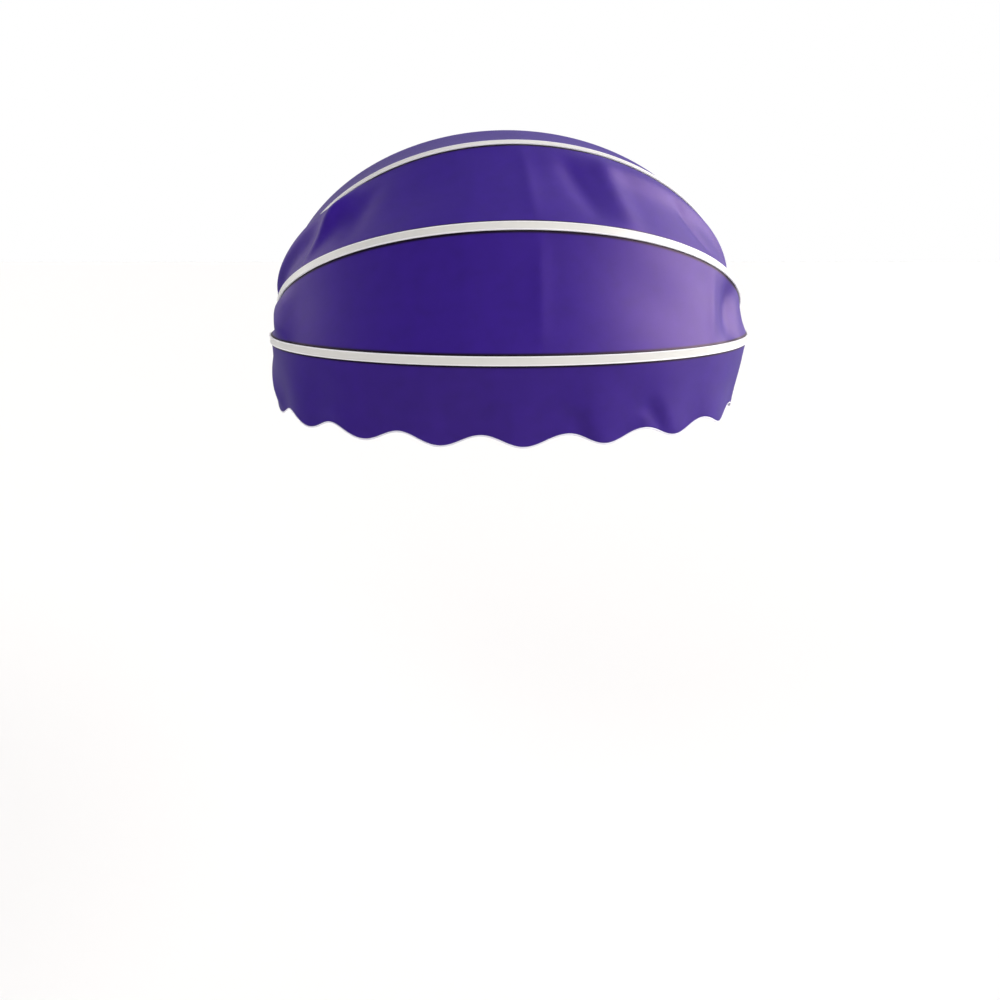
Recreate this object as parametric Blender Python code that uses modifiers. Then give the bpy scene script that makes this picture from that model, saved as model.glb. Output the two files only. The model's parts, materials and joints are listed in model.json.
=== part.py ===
"""Folding half-round door canopy, 1.2 m wide: a wall frame, three hinged bows and a scalloped fabric cover.

Metres, +Z up, +Y towards the wall, +X to the right of someone facing the wall. The origin is on the wall,
at the middle of the wall bar's back face, level with the hinge line.
"""

import bmesh
import bpy
import numpy as np
from math import asin, cos, pi, radians, sin
from mathutils import Matrix, Vector

# The canopy as a whole
half_width = 0.600          # outer face of the front bow, from the middle
bow_reach = 0.495           # hinge line to the outer face of a bow, at its middle
canopy_height = 0.505       # hinge line to the top of the cloth at the wall
bow_leg = 0.040             # straight end of each bow before it starts to curve
bow_tilt = {"front": 0.0, "middle": radians(30), "upper": radians(60)}
nest_step = 0.016           # how much narrower each bow is than the one in front of it
nest_order = ["front", "middle", "upper"]
clearance = 0.0003          # between pieces that touch

# The bows' extruded sections: a wide one at the wall and a narrower, grooved one for the hinged bows
wall_bow_wide = 0.022
rib_wide = 0.018
bow_deep = 0.013
bow_wall = 0.0013
bow_corner = 0.0012
groove_in = 0.0028          # outer face to the near side of the cloth groove
groove_wide = 0.0024
groove_deep = 0.003
groove_wall = 0.0012
curve_segments = 27         # odd, so that a flat stretch lies at the top

# The wall bar and the hinges on it
bar_size = 0.022
bar_wall = 0.0016
cap_plate = 0.002
cap_insert = 0.012
hinge_from_wall = 0.036
bar_hole_radius = 0.0033
bar_hole_places = [-0.44, -0.15, 0.15, 0.44]
bracket_thick = 0.004
bracket_foot = 0.040
bracket_nose = 0.012        # ear beyond the hinge line
bracket_fillet = 0.003
bracket_screw_places = [0.010, 0.027]

# Hinge bolt, nut and spacers
bolt_radius = 0.004
bolt_hole_gap = 0.00025
hex_radius = 0.0075
bolt_head_high = 0.0053
nut_high = 0.0065
bolt_end_past_nut = 0.0002
spacer_radius = 0.0065
first_spacer = 0.0054

# The lug in each end of a bow
lug_eye_radius = 0.0095
lug_eye_thick = 0.004
lug_boss_proud = 0.0002
bow_starts = 0.014          # hinge line to the cut end of the tube
lug_ends = 0.038            # hinge line to the far end of the lug's plug
lug_rivet_at = 0.028

# Rivets and screws
rivet_radius = 0.0016
rivet_head_radius = 0.0032
rivet_head_high = 0.0011
rivet_hole_gap = 0.0003
rivet_grip = 0.006
screw_radius = 0.002
screw_head_radius = 0.0038
screw_head_top_radius = 0.0027
screw_head_high = 0.0022
screw_past_plate = 0.009

# Corner plates between the wall bow and the wall bar
plate_thick = 0.0015
plate_margin = 0.001
plate_low = -0.009
plate_high = 0.045
plate_rivet_places = [-0.004, 0.034]

# Clips that hold the wall bow to the wall
clip_segments = [6, 20]
clip_thick = 0.002
clip_long = 0.030
clip_arm = 0.018
clip_tab = 0.026
clip_hole_radius = 0.0028
clip_hole_in = 0.012        # from the clip's arm to the hole's middle

# Pulley for the pull cord, under the top of the wall bow
pulley_gap = 0.011          # between the cheeks
cheek_thick = 0.002
cheek_long = 0.026
cheek_deep = 0.014
pulley_pin_down = 0.0165
pulley_pin_radius = 0.002
pulley_pin_head_radius = 0.0032
pulley_pin_head_high = 0.001
pulley_pin_past_cheek = 0.0032
pulley_radius = 0.0085
pulley_groove = 0.0025
pulley_running_gap = 0.0006
pulley_bore_gap = 0.00025

# Eyes that guide the pull cord under each bow
eye_ring_radius = 0.0034
eye_wire = 0.0014
eye_collar_radius = 0.0036
eye_collar_high = 0.0012
eye_stem_radius = 0.0014
eye_stem_long = 0.0045
eye_hole_gap = 0.0003

# The cloth
cloth_thick = 0.0016
cloth_in_groove = 0.0026
panel_starts = 0.060        # hinge line to the end of a panel, along a bow
panel_sag = 0.005
panel_strips = 3
valance_starts = 0.020
valance_drop = 0.161        # bow's centre line to the middle of the scallops
scallop_depth = 0.024
scallop_count = 10
valance_lean = 0.012        # how far the hem hangs inside the bow
valance_ripple = 0.003
valance_strips = 2
valance_steps = 3           # steps of the hem in each segment of the bow
binding_radius = 0.0018
binding_gap = 0.0006        # hem to the near side of the binding
sag_sideways = 0.5          # how much of the sag pulls towards the middle of the canopy

# Sides of round pieces, and the two ends of the canopy
wire_sides = 6
rivet_sides = 8
screw_sides = 10
small_sides = 12
bolt_sides = 16
boss_sides = 18
wheel_sides = 20
both_ends = ((1, "right"), (-1, "left"))


def cleared_scene():
    for found in list(bpy.data.objects):
        bpy.data.objects.remove(found)
    made = []
    for name in ("door_canopy", "cutters"):
        group = bpy.data.collections.new(name)
        bpy.context.scene.collection.children.link(group)
        made.append(group)
    return made


parts, cutters = cleared_scene()


def finish_material(name, colour, roughness, metallic):
    made = bpy.data.materials.new(name)
    made.use_nodes = True
    shader = made.node_tree.nodes["Principled BSDF"]
    shader.inputs["Base Color"].default_value = (*colour, 1)
    shader.inputs["Roughness"].default_value = roughness
    shader.inputs["Metallic"].default_value = metallic
    return made


purple_cloth = finish_material("purple_cloth", (0.045, 0.012, 0.22), 0.75, 0.0)
white_binding = finish_material("white_binding", (0.82, 0.80, 0.86), 0.70, 0.0)
white_aluminium = finish_material("white_aluminium", (0.80, 0.80, 0.78), 0.40, 0.0)
zinc_steel = finish_material("zinc_steel", (0.55, 0.56, 0.58), 0.35, 1.0)
cast_aluminium = finish_material("cast_aluminium", (0.62, 0.63, 0.64), 0.45, 1.0)
grey_plastic = finish_material("grey_plastic", (0.35, 0.35, 0.36), 0.50, 0.0)


def placed(made, material, matrix=None):
    """Puts an object in the canopy's collection with its material and place."""
    made.data.materials.clear()
    made.data.materials.append(material)
    if matrix is not None:
        made.matrix_world = matrix
    parts.objects.link(made)
    return made


def from_bmesh(name, bm):
    bmesh.ops.recalc_face_normals(bm, faces=bm.faces)
    mesh = bpy.data.meshes.new(name)
    bm.to_mesh(mesh)
    bm.free()
    mesh.shade_smooth()
    mesh.set_sharp_from_angle(angle=radians(30))
    return bpy.data.objects.new(name, mesh)


def flat_outline(name, loops, half_thickness):
    """A 2D curve of one or more closed loops, filled and extruded to both sides."""
    data = bpy.data.curves.new(name, "CURVE")
    data.dimensions = "2D"
    data.fill_mode = "BOTH"
    data.extrude = half_thickness
    for loop in loops:
        spline = data.splines.new("POLY")
        spline.points.add(len(loop) - 1)
        for point, (x, y) in zip(spline.points, loop):
            point.co = (x, y, 0, 1)
        spline.use_cyclic_u = True
    return bpy.data.objects.new(name, data)


def made_mesh(curve_object):
    """The curve as a mesh with welded caps, under the curve's own name and in the same place."""
    name = curve_object.name
    group = bpy.context.scene.collection
    group.objects.link(curve_object)
    bpy.context.view_layer.update()
    graph = bpy.context.evaluated_depsgraph_get()
    mesh = bpy.data.meshes.new_from_object(curve_object.evaluated_get(graph))
    bm = bmesh.new()
    bm.from_mesh(mesh)
    bmesh.ops.remove_doubles(bm, verts=bm.verts, dist=1e-6)
    matrix = curve_object.matrix_world.copy()
    bpy.data.objects.remove(curve_object)
    bpy.data.meshes.remove(mesh)
    made = from_bmesh(name, bm)
    made.matrix_world = matrix
    return made


def extruded(name, loops, thickness):
    return made_mesh(flat_outline(name, loops, thickness / 2))


def swept(name, line, section):
    """The section carried along a flat line. A section point is (outwards, sideways) from the line."""
    profile = flat_outline(name + "_section", [section], 0)
    profile.data.fill_mode = "NONE"
    data = bpy.data.curves.new(name, "CURVE")
    data.dimensions = "2D"
    spline = data.splines.new("POLY")
    spline.points.add(len(line) - 1)
    for point, (x, y) in zip(spline.points, line):
        point.co = (x, y, 0, 1)
    data.bevel_mode = "OBJECT"
    data.bevel_object = profile
    data.use_fill_caps = True
    made = made_mesh(bpy.data.objects.new(name, data))
    bpy.data.objects.remove(profile)
    return made


def arc(x, y, radius, start, end, steps):
    angles = np.linspace(start, end, steps)
    return [(x + radius * cos(a), y + radius * sin(a)) for a in angles]


def circle(radius, sides):
    return arc(0, 0, radius, 0, 2 * pi * (1 - 1 / sides), sides)


def rectangle(x0, y0, x1, y1):
    return [(x0, y0), (x1, y0), (x1, y1), (x0, y1)]


def along(direction, origin):
    """A matrix whose +Z runs along direction, from origin."""
    turn = Vector((0, 0, 1)).rotation_difference(Vector(direction)).to_matrix().to_4x4()
    return Matrix.Translation(Vector(origin)) @ turn


def cylinder(name, radius, length, sides, turned_by=0.0):
    """A cylinder on +Z, from its own origin upwards."""
    bm = bmesh.new()
    place = Matrix.Translation((0, 0, length / 2)) @ Matrix.Rotation(turned_by, 4, "Z")
    bmesh.ops.create_cone(
        bm, cap_ends=True, segments=sides, radius1=radius, radius2=radius, depth=length, matrix=place
    )
    return from_bmesh(name, bm)


def block(name, low, high):
    bm = bmesh.new()
    size = Vector(high) - Vector(low)
    place = Matrix.Translation((Vector(high) + Vector(low)) / 2) @ Matrix.Diagonal((*size, 1))
    bmesh.ops.create_cube(bm, size=1, matrix=place)
    return from_bmesh(name, bm)


def torus(name, ring_radius, wire_radius):
    """A ring about +Z, around its own origin."""
    bpy.ops.mesh.primitive_torus_add(
        major_radius=ring_radius,
        minor_radius=wire_radius,
        major_segments=small_sides,
        minor_segments=wire_sides,
    )
    made = bpy.context.object
    made.name = name
    made.data.shade_smooth()
    bpy.context.collection.objects.unlink(made)
    return made


def turned(name, profile, sides, ring=False):
    """The (radius, height) profile, listed from the top down, turned about Z. A ring's profile is a loop."""
    bm = bmesh.new()
    points = [bm.verts.new((radius, 0, height)) for radius, height in profile]
    for first, second in zip(points, points[1:] + points[:ring]):
        bm.edges.new((first, second))
    mesh = bpy.data.meshes.new(name)
    bm.to_mesh(mesh)
    bm.free()
    made = bpy.data.objects.new(name, mesh)
    screw = made.modifiers.new("turn", "SCREW")
    screw.steps = sides
    screw.render_steps = sides
    screw.use_merge_vertices = True
    screw.merge_threshold = 1e-5
    return made


def combine(target, other, operation, solver="EXACT"):
    """Adds other to target, or cuts it out, with a Boolean. Other becomes a hidden helper."""
    cutters.objects.link(other)
    other.hide_render = True
    other.display_type = "WIRE"
    modifier = target.modifiers.new(operation.lower(), "BOOLEAN")
    modifier.operation = operation
    modifier.object = other
    modifier.solver = solver


def drill(target, direction, origin, radius, length, sides=small_sides):
    """Cuts a round hole that starts at origin, in world space.

    EXACT leaves open edges where the corner rivets' holes meet the wall bar's thin walls, so only the bar
    takes the MANIFOLD solver.
    """
    bit = cylinder(target.name + "_drill", radius, length, sides)
    bit.matrix_world = along(direction, origin)
    combine(target, bit, "DIFFERENCE", "MANIFOLD" if target.name == "wall_bar" else "EXACT")


def rivet(name, direction, origin):
    """A domed rivet whose head lies just above origin and whose shank runs along direction."""
    dome = [(rivet_head_radius * sin(a), -rivet_head_high * cos(a)) for a in np.linspace(0, pi / 2, 3)]
    head = [(radius, height - clearance) for radius, height in dome]
    under = [(rivet_radius, -clearance), (rivet_radius, rivet_grip), (0, rivet_grip)]
    made = turned(name, (head + under)[::-1], rivet_sides)
    placed(made, zinc_steel, along(direction, origin))


def bow_inset(half, reach, start, inset):
    """The outer line of a bow moved inwards by inset, from one cut end to the other.

    The line is a straight leg, half an ellipse and a straight leg. Each corner moves along the mean of the
    directions before and after it.
    """
    angles = np.linspace(0, pi, curve_segments + 1)
    first = asin((panel_starts - bow_leg) / (reach - bow_leg))
    angles = np.concatenate([[0, first], angles[1:-1], [pi - first, pi]])
    x = np.concatenate([[half], half * np.cos(angles), [-half]])
    y = np.concatenate([[start], bow_leg + (reach - bow_leg) * np.sin(angles), [start]])
    line = np.stack([x, y], 1)
    steps = np.diff(line, axis=0)
    steps /= np.linalg.norm(steps, axis=1)[:, None]
    mean = np.vstack([steps[:1], steps[:-1] + steps[1:], steps[-1:]])
    mean /= np.linalg.norm(mean, axis=1)[:, None]
    inwards = np.stack([-mean[:, 1], mean[:, 0]], 1)
    return line + inset * inwards


def flat_top(half, reach, inset):
    """How high the flat stretch at the middle of a bow lies, moved inwards by inset."""
    line = bow_inset(half, reach, bow_starts, inset)
    return float(line[len(line) // 2, 1])


def half_of(name):
    return half_width - nest_step * nest_order.index(name)


def hinge_frame(name):
    """A bow's own frame: X along the hinge line, Y from the hinge out to the bow."""
    return Matrix.Translation((0, -hinge_from_wall, 0)) @ Matrix.Rotation(pi - bow_tilt[name], 4, "X")


def grooved_section():
    half, inner = rib_wide / 2, rib_wide / 2 - groove_deep
    near, far = -groove_in, -groove_in - groove_wide
    right = [(-bow_corner, half), (near, half), (near, inner), (far, inner), (far, half), (-bow_deep, half)]
    left = [(x, -y) for x, y in right[::-1]]
    return left + [(0, -half + bow_corner), (0, half - bow_corner)] + right


def hollow_bow(name, half, reach, start, section, core_half, matrix):
    """A bow whose hollow, core_half wide to each side, runs out of both cut ends."""
    made = swept(name, bow_inset(half, reach, start, 0), section)
    hollow = rectangle(-bow_deep + bow_wall, -core_half, -bow_wall, core_half)
    core = swept(name + "_core", bow_inset(half, reach, start - bow_deep, 0), hollow)
    made.matrix_world = matrix
    core.matrix_world = matrix
    combine(made, core, "DIFFERENCE")
    return placed(made, white_aluminium)


def hinged_bow(name):
    frame = hinge_frame(name)
    core_half = rib_wide / 2 - groove_deep - groove_wall
    section = grooved_section()
    made = hollow_bow(f"{name}_bow", half_of(name), bow_reach, bow_starts, section, core_half, frame)
    for side, word in both_ends:
        inner = side * (half_of(name) - bow_deep)
        hole = frame @ Vector((inner - side * rivet_grip, lug_rivet_at, 0))
        drill(made, (side, 0, 0), hole, rivet_radius + rivet_hole_gap, 2 * rivet_grip)
        lug(name, word, side, frame)
        rivet(f"{name}_rivet_{word}", (side, 0, 0), frame @ Vector((inner, lug_rivet_at, 0)))
    cord_eye(name, made, frame)


def lug_inner(name):
    """The lug's inner face, from the middle of the canopy."""
    return half_of(name) - bow_deep + bow_wall + clearance


def lug(name, word, side, frame):
    """A cast lug: a plug that fills the tube's end and a thinner eye on the hinge bolt."""
    inner = lug_inner(name)
    outer = half_of(name) - bow_wall - clearance
    half = rib_wide / 2 - groove_deep - groove_wall - clearance
    eye_outer = inner + lug_eye_thick
    shape = [
        (inner, 0),
        (eye_outer, 0),
        (eye_outer, bow_starts - lug_eye_thick),
        (outer, bow_starts),
        (outer, lug_ends),
        (inner, lug_ends),
    ]
    made = extruded(f"{name}_lug_{word}", [[(side * x, y) for x, y in shape]], 2 * half)
    made.matrix_world = frame
    boss = cylinder("boss", lug_eye_radius, lug_eye_thick + 2 * lug_boss_proud, boss_sides)
    boss_at = (side * (inner - lug_boss_proud), -hinge_from_wall, 0)
    boss.matrix_world = along((side, 0, 0), boss_at)
    combine(made, boss, "UNION")
    placed(made, cast_aluminium)
    through = (side * (inner - lug_eye_thick), -hinge_from_wall, 0)
    drill(made, (side, 0, 0), through, bolt_radius + bolt_hole_gap, 3 * lug_eye_thick, bolt_sides)
    hole = frame @ Vector((side * (inner - bow_deep), lug_rivet_at, 0))
    drill(made, (side, 0, 0), hole, rivet_radius + rivet_hole_gap, 3 * bow_deep)


def cord_eye(name, bow, frame):
    """A small eye screwed up into the bow's inner wall at the top, for the pull cord to run through."""
    face = flat_top(half_of(name), bow_reach, bow_deep)
    ring_low = eye_collar_high + eye_ring_radius + clearance
    made = torus(f"{name}_cord_eye", eye_ring_radius, eye_wire)
    made.matrix_world = frame @ Matrix.Translation((0, face - ring_low, 0))
    stem_top = face + eye_stem_long
    stem = turned(
        "stem",
        [
            (0, stem_top),
            (eye_stem_radius, stem_top),
            (eye_stem_radius, face - clearance),
            (eye_collar_radius, face - clearance),
            (eye_collar_radius, face - clearance - eye_collar_high),
            (0, face - clearance - eye_collar_high),
        ],
        small_sides,
    )
    stem.matrix_world = frame @ Matrix.Rotation(-pi / 2, 4, "X")
    combine(made, stem, "UNION")
    placed(made, zinc_steel)
    up = frame.to_3x3() @ Vector((0, 1, 0))
    drill(bow, up, frame @ Vector((0, face - bow_wall, 0)), eye_stem_radius + eye_hole_gap, 3 * bow_wall)


def wall_bow_half():
    return half_width - cloth_thick - 2 * clearance


def wall_bow_reach():
    return canopy_height - cloth_thick - 2 * clearance


def wall_bow_frame():
    return Matrix.Translation((0, -wall_bow_wide / 2, 0)) @ Matrix.Rotation(pi / 2, 4, "X")


def wall_bow():
    """The bow against the wall, plain outside because the cloth wraps over it."""
    half = wall_bow_wide / 2
    section = [
        (-bow_deep, -half),
        (-bow_corner, -half),
        (0, -half + bow_corner),
        (0, half - bow_corner),
        (-bow_corner, half),
        (-bow_deep, half),
    ]
    made = hollow_bow(
        "wall_bow",
        wall_bow_half(),
        wall_bow_reach(),
        bar_size / 2 + clearance,
        section,
        half - bow_wall,
        wall_bow_frame(),
    )
    for (side, word), segment in zip(both_ends, clip_segments):
        corner_plate(word, side, made)
        wall_clip(word, segment, made)
    return made


def wall_bar():
    """Square tube along the wall between the bow's feet, with holes for four wall screws."""
    half = bar_size / 2
    inner = half - bar_wall
    loops = [rectangle(-half, -half, half, half), rectangle(-inner, -inner, inner, inner)]
    long = wall_bow_half() - cap_plate - clearance
    made = extruded("wall_bar", loops, 2 * long)
    made.matrix_world = Matrix.Translation((0, -half, 0)) @ Matrix.Rotation(pi / 2, 4, "Y")
    placed(made, white_aluminium)
    for x in bar_hole_places:
        drill(made, (0, -1, 0), (x, half, 0), bar_hole_radius, 2 * bar_size)
    slack = bar_wall + clearance
    for side, word in both_ends:
        end = side * long
        faces = sorted((end + side * clearance, end + side * (clearance + cap_plate)))
        cap = block(f"wall_bar_cap_{word}", (faces[0], -bar_size, -half), (faces[1], 0, half))
        ends = sorted((end - side * cap_insert, end + side * (clearance + cap_plate / 2)))
        insert = block(
            "insert", (ends[0], -bar_size + slack, -half + slack), (ends[1], -slack, half - slack)
        )
        combine(cap, insert, "UNION")
        placed(cap, grey_plastic)
    return made


def corner_plate(word, side, bow):
    """A flat plate riveted across the joint of the wall bow's foot and the wall bar."""
    outer = wall_bow_half() - plate_margin
    inner = wall_bow_half() - bow_deep + plate_margin
    front = -wall_bow_wide - clearance
    ends = sorted((side * inner, side * outer))
    made = block(
        f"corner_plate_{word}", (ends[0], front - plate_thick, plate_low), (ends[1], front, plate_high)
    )
    placed(made, zinc_steel)
    middle = side * (wall_bow_half() - bow_deep / 2)
    cap = bpy.data.objects[f"wall_bar_cap_{word}"]
    for number, z in enumerate(plate_rivet_places):
        behind = [bar, cap] if z < bar_size / 2 else [bow]
        for target in (made, *behind):
            drill(
                target, (0, 1, 0), (middle, front - 2 * plate_thick, z), rivet_radius + rivet_hole_gap,
                rivet_grip + 2 * plate_thick,
            )
        rivet(f"corner_rivet_{word}_{number + 1}", (0, 1, 0), (middle, front - plate_thick, z))


def wall_clip(word, segment, bow):
    """An angle on the inside of the wall bow: one arm riveted to the bow, one tab screwed to the wall."""
    line = bow_inset(wall_bow_half(), wall_bow_reach(), bow_starts, bow_deep)
    first, second = Vector(line[segment + 2]), Vector(line[segment + 3])
    middle = (first + second) / 2
    run = (second - first).normalized()
    inwards = Vector((-run.y, 0, run.x))
    # Clear of the bow by the clearance, with the tab's back on the wall
    origin = Vector((middle.x, 0, middle.y)) + clearance * inwards
    axes = Matrix((inwards, Vector((0, 1, 0)), inwards.cross(Vector((0, 1, 0))))).transposed().to_4x4()
    shape = [
        (0, 0),
        (clip_tab, 0),
        (clip_tab, -clip_thick),
        (clip_thick, -clip_thick),
        (clip_thick, -clip_arm),
        (0, -clip_arm),
    ]
    made = extruded(f"wall_clip_{word}", [shape], clip_long)
    made.matrix_world = Matrix.Translation(origin) @ axes
    placed(made, zinc_steel)
    hole = origin + clip_hole_in * inwards + Vector((0, clip_thick, 0))
    drill(made, (0, -1, 0), hole, clip_hole_radius, 3 * clip_thick)
    seat = origin + clip_thick * inwards + Vector((0, -wall_bow_wide / 2, 0))
    through = seat + clip_thick * inwards
    for target in (made, bow):
        drill(target, -inwards, through, rivet_radius + rivet_hole_gap, rivet_grip + clip_thick)
    rivet(f"clip_rivet_{word}", -inwards, seat)


def hinge_bracket(word, side, bar_object):
    """A piece of angle section on the front of the wall bar, whose ear carries the hinge bolt."""
    front = bar_size + clearance
    ear_outer = lug_inner("upper") - lug_boss_proud - clearance - first_spacer - clearance
    ear_inner = ear_outer - bracket_thick
    foot_inner = ear_outer - bracket_foot
    nose = hinge_from_wall + bracket_nose
    fillet_y = front + bracket_thick + bracket_fillet
    fillet = arc(ear_inner - bracket_fillet, fillet_y, bracket_fillet, 0, -pi / 2, 4)
    shape = [(foot_inner, front), (ear_outer, front), (ear_outer, nose), (ear_inner, nose)]
    shape += fillet + [(foot_inner, front + bracket_thick)]
    made = extruded(f"hinge_bracket_{word}", [[(side * x, -y) for x, y in shape]], bar_size)
    placed(made, zinc_steel)
    start = (side * (ear_inner - bracket_thick), -hinge_from_wall, 0)
    drill(made, (side, 0, 0), start, bolt_radius + bolt_hole_gap, 3 * bracket_thick, bolt_sides)
    for number, inset in enumerate(bracket_screw_places):
        x = side * (foot_inner + inset)
        seat = -front - bracket_thick
        for target in (made, bar_object):
            drill(
                target, (0, 1, 0), (x, seat - bracket_thick, 0), screw_radius + rivet_hole_gap,
                2 * bracket_thick + screw_past_plate,
            )
        bracket_screw(f"bracket_screw_{word}_{number + 1}", (x, seat, 0))
    hinge_bolt(word, side, ear_inner, ear_outer)


def bracket_screw(name, seat):
    """A pan-head self-tapping screw with a point."""
    shank = bracket_thick + screw_past_plate
    profile = [
        (0, shank + screw_radius),
        (screw_radius, shank - screw_radius),
        (screw_radius, -clearance),
        (screw_head_radius, -clearance),
        (screw_head_radius, -clearance - screw_head_high / 2),
        (screw_head_top_radius, -clearance - screw_head_high),
        (0, -clearance - screw_head_high),
    ]
    made = turned(name, profile, screw_sides)
    placed(made, zinc_steel, along((0, 1, 0), seat))


def hinge_bolt(word, side, ear_inner, ear_outer):
    """Hexagon bolt through the ear, the three lugs and the spacers between them, with its nut outside."""
    axis = (side, 0, 0)
    eye_high = lug_eye_thick + lug_boss_proud
    nut_inner = lug_inner("front") + eye_high + clearance
    bolt_end = nut_inner + nut_high + bolt_end_past_nut
    head_outer = ear_inner - clearance
    bolt = cylinder(f"hinge_bolt_{word}", hex_radius, bolt_head_high, 6)
    bolt.matrix_world = along(axis, (side * (head_outer - bolt_head_high), -hinge_from_wall, 0))
    shank = cylinder("shank", bolt_radius, bolt_end - head_outer + bolt_head_high / 2, bolt_sides)
    shank.matrix_world = along(axis, (side * (head_outer - bolt_head_high / 2), -hinge_from_wall, 0))
    combine(bolt, shank, "UNION")
    placed(bolt, zinc_steel)
    hexagon = circle(hex_radius, 6)
    nut = extruded(f"hinge_nut_{word}", [hexagon, circle(bolt_radius + bolt_hole_gap, bolt_sides)], nut_high)
    placed(nut, zinc_steel, along(axis, (side * (nut_inner + nut_high / 2), -hinge_from_wall, 0)))
    stops = [ear_outer]
    for name in nest_order[::-1]:
        stops += [lug_inner(name) - lug_boss_proud, lug_inner(name) + eye_high]
    for number, (low, high) in enumerate(zip(stops[0::2], stops[1::2])):
        long = high - low - 2 * clearance
        ring = [circle(spacer_radius, bolt_sides), circle(bolt_radius + bolt_hole_gap, bolt_sides)]
        spacer = extruded(f"hinge_spacer_{word}_{number + 1}", ring, long)
        placed(spacer, grey_plastic, along(axis, (side * (low + high) / 2, -hinge_from_wall, 0)))


def pulley(bow):
    """A small wheel between two cheeks under the top of the wall bow, riveted up into it."""
    top = flat_top(wall_bow_half(), wall_bow_reach(), bow_deep) - clearance
    middle = -wall_bow_wide / 2
    outer = pulley_gap / 2 + cheek_thick
    inner = pulley_gap / 2
    low, under = top - cheek_long, top - cheek_thick
    shape = [(-outer, low), (-inner, low), (-inner, under), (inner, under), (inner, low), (outer, low)]
    shape += [(outer, top), (-outer, top)]
    bracket = extruded("pulley_bracket", [shape], cheek_deep)
    bracket.matrix_world = Matrix.Translation((0, middle, 0)) @ Matrix.Rotation(pi / 2, 4, "X")
    placed(bracket, zinc_steel)
    pin_z = top - pulley_pin_down
    drill(bracket, (1, 0, 0), (-2 * outer, middle, pin_z), pulley_pin_radius + pulley_bore_gap, 4 * outer)
    seat = Vector((0, middle, under))
    through = seat - Vector((0, 0, cheek_thick))
    for target in (bracket, bow):
        drill(target, (0, 0, 1), through, rivet_radius + rivet_hole_gap, 3 * rivet_grip)
    rivet("pulley_rivet", (0, 0, 1), seat)
    half = inner - pulley_running_gap
    bore = pulley_pin_radius + pulley_bore_gap
    profile = [
        (bore, half),
        (pulley_radius, half),
        (pulley_radius - pulley_groove, 0),
        (pulley_radius, -half),
        (bore, -half),
    ]
    wheel = turned("pulley_wheel", profile, wheel_sides, ring=True)
    placed(wheel, grey_plastic, along((1, 0, 0), (0, middle, pin_z)))
    pin_end = outer + pulley_pin_past_cheek
    head_seat = -outer - clearance
    pin = turned(
        "pulley_pin",
        [
            (0, pin_end),
            (pulley_pin_radius, pin_end),
            (pulley_pin_radius, head_seat),
            (pulley_pin_head_radius, head_seat),
            (pulley_pin_head_radius, head_seat - pulley_pin_head_high),
            (0, head_seat - pulley_pin_head_high),
        ],
        small_sides,
    )
    placed(pin, zinc_steel, along((1, 0, 0), (0, middle, pin_z)))


def cloth_object(name, rows, matrix=None):
    """A sheet through the rows of points, given the cloth's thickness. Each row runs along the bows."""
    rows = [np.asarray(row) for row in rows]
    count = len(rows[0])
    bm = bmesh.new()
    grid = [[bm.verts.new(point) for point in row] for row in rows]
    for above, below in zip(grid, grid[1:]):
        for k in range(count - 1):
            bm.faces.new([above[k], above[k + 1], below[k + 1], below[k]])
    mesh = bpy.data.meshes.new(name)
    bm.to_mesh(mesh)
    bm.free()
    mesh.shade_smooth()
    made = bpy.data.objects.new(name, mesh)
    solid = made.modifiers.new("cloth", "SOLIDIFY")
    solid.thickness = cloth_thick
    solid.offset = 0
    solid.use_even_offset = True
    return placed(made, purple_cloth, matrix)


def row_on_bow(name, sideways):
    """World points along a bow's cloth groove, sideways of the bow's middle, up the fold positive."""
    line = bow_inset(half_of(name), bow_reach, bow_starts, groove_in + groove_wide / 2)[2:-2]
    frame = hinge_frame(name)
    return np.array([frame @ Vector((x, y, -sideways)) for x, y in line])


def sagging_rows(first, last, strips):
    """Rows between two edges, on straight lines but pulled in towards the hinge line."""
    centre = np.array([0, -hinge_from_wall, 0])
    rows = []
    for k in range(1, strips):
        share = k / strips
        row = (1 - share) * first + share * last
        inwards = centre - row
        inwards[:, 0] *= sag_sideways
        inwards /= np.linalg.norm(inwards, axis=1)[:, None]
        rows.append(row + panel_sag * sin(pi * share) * inwards)
    return rows


def canopy_panels():
    held = rib_wide / 2 - cloth_in_groove
    mouth = rib_wide / 2 + cloth_thick / 2 + clearance
    for panel, above, below in (("middle", "upper", "middle"), ("lower", "middle", "front")):
        first, last = row_on_bow(above, -mouth), row_on_bow(below, mouth)
        rows = [row_on_bow(above, -held), first, *sagging_rows(first, last, panel_strips)]
        rows += [last, row_on_bow(below, held)]
        cloth_object(f"canopy_panel_{panel}", rows)
    outside = bow_inset(wall_bow_half(), wall_bow_reach(), bow_starts, -clearance - cloth_thick / 2)[2:-2]
    wall_edge = np.array([(x, -2 * clearance, y) for x, y in outside])
    front_edge = np.array([(x, -wall_bow_wide - clearance, y) for x, y in outside])
    last = row_on_bow("upper", mouth)
    rows = [wall_edge, front_edge, *sagging_rows(front_edge, last, panel_strips)]
    rows += [last, row_on_bow("upper", held)]
    cloth_object("canopy_panel_upper", rows)


def valance_line(inset):
    """The front bow's line moved inwards, with extra points on each segment, and the length along it."""
    line = bow_inset(half_of("front"), bow_reach, valance_starts, inset)
    pieces = [
        line[k] + (line[k + 1] - line[k]) * step / valance_steps
        for k in range(len(line) - 1)
        for step in range(valance_steps)
    ]
    line = np.array(pieces + [line[-1]])
    run = np.concatenate([[0], np.cumsum(np.linalg.norm(np.diff(line, axis=0), axis=1))])
    return line, run / run[-1]


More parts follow.
